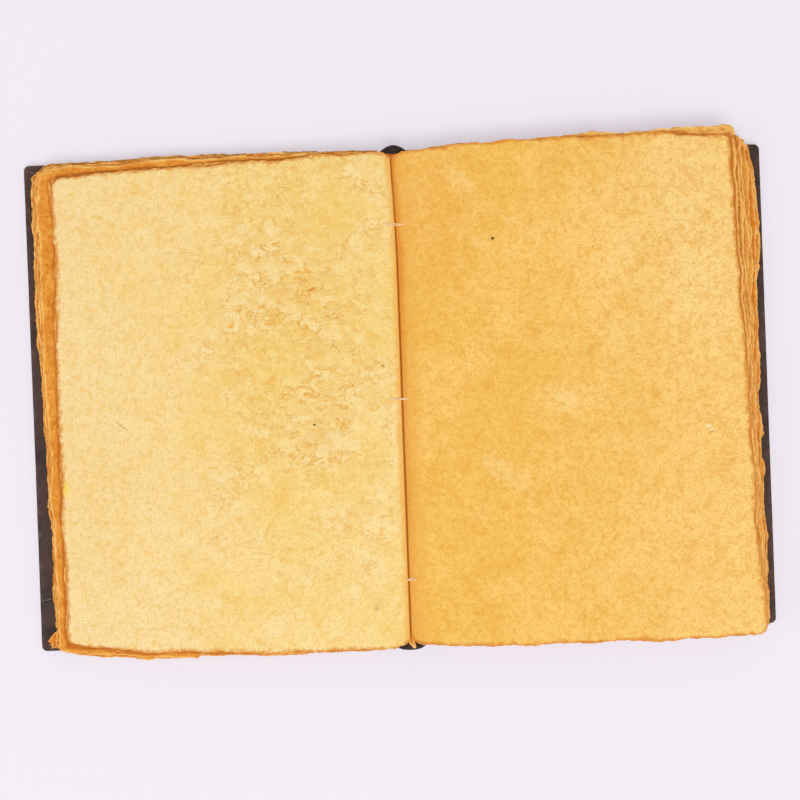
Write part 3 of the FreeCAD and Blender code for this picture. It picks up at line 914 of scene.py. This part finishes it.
def leather_material():
    n = Nodes("dark_leather")
    x, y = n.axes()
    dark = rgb(50, 34, 29)
    warm = rgb(80, 55, 48)
    # Pale leather: real rubbing along the edges, and the painted highlight of the creases below.
    rubbed_and_highlight = rgb(126, 100, 90)
    grain = n.noise(1.3, 6, 0.62, 0.3)
    cloud = n.noise(12, 5, 0.6, 0.5)
    colour = n.mix(n.span(cloud, 0.35, 0.68), dark, warm)
    colour = n.mix(n.span(grain, 0.55, 0.8, 0, 0.35), colour, warm)
    wear = n.times(n.attribute("wear"), n.span(n.noise(4, 5, 0.7), 0.42, 0.7))
    colour = n.mix(n.times(wear, 0.5), colour, rubbed_and_highlight)
    # Where the attribute is 0, at the spine's head and tail, the leather is painted near-black: painted
    # shade.
    colour = n.mix(n.span(n.attribute("wear"), 0.2, 0.0, 0, 0.6), colour, rgb(30, 19, 17))
    # Creases in the front cover, drawn flat with no relief: one across the margin as a painted highlight
    # beside a line of painted shade, a painted highlight at the head corner, and a dark fold at the tail
    # corner in painted shade.
    sway = n.span(grain, 0.3, 0.7, -0.4, 0.4)
    for place, size, turn, tint, strength in (
            ((-132.6, -69.9), (3.2, 0.22), 12, rubbed_and_highlight, 0.7),
            ((-132.6, -70.5), (3.2, 0.3), 12, rgb(24, 16, 15), 0.8),
            ((-132.2, -80.9), (3.0, 0.45), 18, rgb(22, 15, 14), 0.9),
            ((-132.6, -82.6), (2.2, 1.8), 0, rgb(34, 24, 22), 0.7),
            ((-134.0, 87.8), (2.4, 0.25), -18, rubbed_and_highlight, 0.7)):
        inside = n.spot(x, y, place, size, sway, turn)
        colour = n.mix(n.times(inside, strength), colour, tint)
    normal = n.bump(grain, 0.5, 0.16)
    normal = n.bump(n.noise(0.45, 3, 0.6), 0.3, 0.05, normal)
    return n.finish(colour, n.span(cloud, 0.3, 0.7, 0.55, 0.7), normal, 0.3)


def plain_material(name, colour, darker, size, roughness):
    n = Nodes(name)
    grain = n.noise(size, 5, 0.6)
    normal = n.bump(grain, 0.4, 0.12)
    return n.finish(n.mix(n.span(grain, 0.35, 0.7), colour, darker), roughness, normal, 0.2)


def floor_material():
    """Pale floor. To the camera and in reflections half of it is its own even colour, and
    the other half takes light and shadow."""
    n = Nodes("pale_floor")
    even = n.node("ShaderNodeEmission", Color=(*rgb(245, 238, 246), 1.0))
    rays = n.node("ShaderNodeLightPath")
    seen = n.math("MAXIMUM", rays.outputs["Is Camera Ray"], rays.outputs["Is Glossy Ray"])
    seen = n.math("MAXIMUM", seen, rays.outputs["Is Transmission Ray"])
    both = n.node("ShaderNodeMixShader")
    n.put(both.inputs[0], n.times(seen, 0.5))
    n.link(n.shader.outputs[0], both.inputs[1])
    n.link(even.outputs[0], both.inputs[2])
    n.link(both.outputs[0], n.out.inputs[0])
    return n.finish((*rgb(244, 237, 245), 1.0), 0.95, None, 0.05)


MATERIALS = {
    "front_paper": paper("front_paper", rgb(254, 228, 164), rgb(249, 213, 126), rgb(241, 193, 94),
                         rgb(248, 224, 176), 0.42, 0.0, FRONT_MARKS),
    "back_paper": paper("back_paper", rgb(255, 208, 118), rgb(245, 194, 92), rgb(236, 168, 62),
                        rgb(255, 220, 144), 0.0, 4.5, BACK_MARKS, BACK_TONES),
    "leather": leather_material(),
    "board": plain_material("grey_board", rgb(150, 132, 108), rgb(128, 110, 88), 1.5, 0.9),
    "lining_cloth": plain_material("lining_cloth", rgb(214, 205, 184), rgb(190, 180, 156),
                                   0.6, 0.95),
    "pastedown_paper": plain_material("pastedown_paper", rgb(244, 200, 120), rgb(228, 170, 84),
                                      3.0, 0.9),
    "thread": plain_material("linen_thread", rgb(255, 228, 182), rgb(238, 188, 128), 0.4, 0.8),
}


# Sewing and linings.

STITCHES = (
    # place along the gutter at the front end and at the back end, then those ends
    (62.9, 62.6, -4.9, 3.6),
    (-0.6, -0.9, -4.9, 2.2),
    (-66.3, -66.6, -1.0, 2.6),
)


def add_rod(shells, path, radius, sides=10):
    """A round thread along a path that lies in a plane across the gutter."""
    path = np.asarray(path, float)
    ahead = np.gradient(path, axis=0)
    ahead /= np.linalg.norm(ahead, axis=1)[:, None]
    side = np.cross(ahead, (0.0, 1.0, 0.0))
    side /= np.linalg.norm(side, axis=1)[:, None]
    other = np.cross(ahead, side)
    rings = []
    for k, (p, a, b) in enumerate(zip(path, side, other)):
        turn = np.arange(sides) * 2 * np.pi / sides
        # Two plies, twisted.
        swell = radius * (1 + 0.16 * np.cos(2 * (turn + k * 0.55)))
        rings.append(p + a * (swell * np.cos(turn))[:, None] + b * (swell * np.sin(turn))[:, None])
    verts, faces = loft(rings)
    shells.add(verts, faces)


def make_stitches():
    shells = Shells()
    for k, (y0, y1, front, back) in enumerate(STITCHES):
        for strand in (-1, 1):
            path = []
            for t in np.linspace(0, 1, 40):
                x = front + t * (back - front) + 0.25 * strand + float(gutter_drift(y0))
                rise = -1 if x < 0 else 1
                dip = gutter_dip(x) if x > 0 else 0.0
                over = float(page_top(np.array(abs(x)), rise)) - dip + 0.12
                end = min(t, 1 - t)
                under = 1.1 * max(0.0, 1 - end / 0.09) ** 2
                apart = 0.24 * strand * math.sin(math.pi * t) + 0.10 * math.sin(7 * t + 2 * k)
                path.append((x, y0 + t * (y1 - y0) + apart, over - under))
            add_rod(shells, path, 0.19)
        if k:
            # A small knot where the thread is tied off.
            knot = [(x, y0 + 0.4 * x - 0.1, 12.95 + 0.3 * math.cos(x - 0.2))
                    for x in np.linspace(-0.7, 1.1, 9)]
            add_rod(shells, knot, 0.26)
    return shells.build("gutter_stitches", MATERIALS["thread"])


def make_centre_fold():
    """The fold of the middle sheet, at the bottom of the gutter between the top leaves. A
    tongue of it shows over the leather at the tail."""
    rows = np.concatenate([[88.4, 87.6, 86.6], np.linspace(85.5, -86.5, 40),
                           np.linspace(-87.2, -91.6, 13)])
    tongue = np.clip((-86.8 - rows) / 4.8, 0, 1)
    middle = 0.1 - 0.6 * np.sin(np.pi * tongue) + 1.3 * tongue + 0.12 * wander(rows, 61, 5, 1.5, 4)
    reach = 3.2 - 2.7 * np.sqrt(tongue) + 1.4 * np.clip((rows - 84) / 4, 0, 1)
    across = np.linspace(1, -1, 25)
    X = middle[:, None] + reach[:, None] * across[None, :]
    Y = np.repeat(rows[:, None], len(across), 1)
    Y = Y + np.where(rows > 86, 1.0, 0.0)[:, None] * (0.04 * X ** 2 + 0.1 * wander(X, 63, 3, 1, 3))
    Z = 12.42 - 0.12 * np.abs(X) + 0.05 * wander(Y, 62, 9, 2, 4)
    verts, faces = closed_sheet(np.stack([X, Y, Z], -1), np.stack([X, Y, Z - 0.2], -1))
    rim = (1 - np.abs(across))[None, :] * reach[:, None]
    rim = np.where(tongue[:, None] > 0, np.minimum(rim, rows[:, None] + 91.5), 3.0)
    shells = Shells()
    # Its gap of 3 lets the margins' painted shade darken its middle: the dark line at the bottom of the
    # gutter.
    shells.add(verts, faces, depth=np.tile(rim.ravel(), 2), gap=3.0, tone=-0.2, level=0.5,
               from_fold=OUT_OF_REACH)
    return shells.build("centre_fold", MATERIALS["back_paper"])


def make_lining():
    """Cloth over the back of the pages, from board to board, as one bent strip."""
    x, z, nx, nz = spine_path()
    half, cloth = 70.8, 0.3
    corners = ((-half, 0), (half, 0), (half, cloth), (-half, cloth))
    offset = LEATHER / 2 + 0.08
    rings = [[(px + ax * (offset + t), y, pz + az * (offset + t)) for y, t in corners]
             for px, pz, ax, az in zip(x, z, nx, nz) if abs(px) <= 6.35]
    back = [[(px, y, BOARD_TOP + 0.02 + t) for y, t in corners] for px in (LINING_EDGE, 7.6)]
    front = [[(-p[0], p[1], p[2]) for p in ring] for ring in back[::-1]]
    keep = [r for r in rings if r[0][2] > BOARD_TOP + 0.5]
    verts, faces = loft(back + keep + front)
    shells = Shells()
    shells.add(verts, faces)
    return shells.build("spine_lining", MATERIALS["lining_cloth"])


def make_pastedown(side, name):
    """Paper glued inside a cover, lapped over the turned-in leather."""
    columns, rows = 40, 50
    x0, x1, y1 = 8.1, 128.0, 81.5
    u, v = np.meshgrid(np.linspace(0, 1, columns), np.linspace(-1, 1, rows))
    X = x0 + u * (x1 - x0)
    Y = v * y1
    X = X + np.where(u == 1, 0.4 * wander(Y, 90 + side, 20, 3, 5), 0)
    Y = Y + np.where(np.abs(v) == 1, 0.4 * wander(X, 95 + side, 20, 3, 5), 0)
    over = np.clip(1 - (COVER_HALF_WIDTH - TURN_IN_WIDTH - X) / 2, 0, 1)
    over = np.maximum(over, np.clip(1 - (COVER_HALF_HEIGHT - TURN_IN_WIDTH - np.abs(Y)) / 2, 0, 1))
    over = np.maximum(over, np.clip(1 - (X - LINING_EDGE) / 2, 0, 1))
    base = BOARD_TOP + 0.05 + over * 0.52
    top = np.stack([side * X, Y, base + 0.22], -1)
    under = np.stack([side * X, Y, base], -1)
    verts, faces = closed_sheet(top, under, side < 0)
    return make_object(name, verts, faces, MATERIALS["pastedown_paper"])


# The book.

def build_book():
    leather = Shells()
    add_cover(leather, 1, 3)
    add_cover(leather, -1, 4)
    add_spine(leather)
    cover = leather.build("cover_leather", MATERIALS["leather"])
    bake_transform(cover, "back_half", "front_half",
             start=(BEND_REACH * MM, 0, 0), end=(-BEND_REACH * MM, 0, 0))
    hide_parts("back_leather", "front_leather")

    lining = make_lining()
    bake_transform(lining, "back_half", "front_half",
             start=(BEND_REACH * MM, 0, 0), end=(-BEND_REACH * MM, 0, 0))
    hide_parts("back_lining", "front_lining")

    stitches = make_stitches()
    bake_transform(stitches, "back_half", "front_half", start=(2 * MM, 0, 0), end=(-2 * MM, 0, 0))
    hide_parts("back_sewing", "front_sewing")

    fold = make_centre_fold()
    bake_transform(fold, "back_half", "front_half", start=(2.4 * MM, 0, 0), end=(-2.4 * MM, 0, 0))

    for half, word, body in ((BACK, "back", "back_half"), (FRONT, "front", "front_half")):
        material = MATERIALS[word + "_paper"]
        below = pages_below(half, word + "_leaves", material)
        top = top_leaf(half, word + "_top_leaf", material, *TOP_LEAF_GRID)
        paste = make_pastedown(half.side, word + "_pastedown_sheet")
        for piece, slot in ((below, word + "_paper"), (top, word + "_paper"),
                            (paste, "pastedown_paper")):
            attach(piece, body)
        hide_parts(word + "_pages")
        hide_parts(word + "_pastedown")

    for name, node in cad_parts.items():
        kind = name.split("_")[-1]
        key = {"leather": "leather", "board": "board", "lining": "lining_cloth",
               "pastedown": "pastedown_paper", "sewing": "thread"}.get(kind)
        if kind == "pages":
            key = name.split("_")[0] + "_paper"
        node.data.materials.clear()
        node.data.materials.append(MATERIALS[key])


# Setting.

def build_setting():
    floor_half = 2500.0
    corners = [(x * floor_half, y * floor_half, 0) for x, y in ((-1, -1), (1, -1), (1, 1), (-1, 1))]
    floor = make_object("floor", corners, [(0, 1, 2, 3)], floor_material(), smooth=False)
    floor.location.z = -0.02 * MM

    world = bpy.data.worlds.new("soft_room")
    bpy.context.scene.world = world
    world.use_nodes = True
    background = world.node_tree.nodes["Background"]
    background.inputs["Color"].default_value = (0.98, 0.98, 1.0, 1.0)
    background.inputs["Strength"].default_value = 0.50

    add_light("overhead", (0.15, -1.10, 2.60), 1.4, 40.0)
    add_light("window_side", (-2.0, -0.4, 1.8), 1.5, 8.0)

    camera_data = bpy.data.cameras.new("camera")
    camera_data.lens = CAMERA_LENS
    camera_data.clip_start = 0.01
    camera = bpy.data.objects.new("camera", camera_data)
    camera.location = [c * MM for c in CAMERA_PLACE]
    camera.rotation_euler = [math.radians(a) for a in CAMERA_TURN]
    bpy.context.scene.collection.objects.link(camera)
    bpy.context.scene.camera = camera
    bpy.context.scene.view_settings.view_transform = "Standard"


def add_light(name, place, size, power):
    data = bpy.data.lights.new(name, "AREA")
    data.shape = "DISK"
    data.size = size
    data.energy = power
    lamp = bpy.data.objects.new(name, data)
    lamp.location = place
    lamp.rotation_euler = (-Vector(place)).to_track_quat("-Z", "Y").to_euler()
    bpy.context.scene.collection.objects.link(lamp)


build_book()
build_setting()
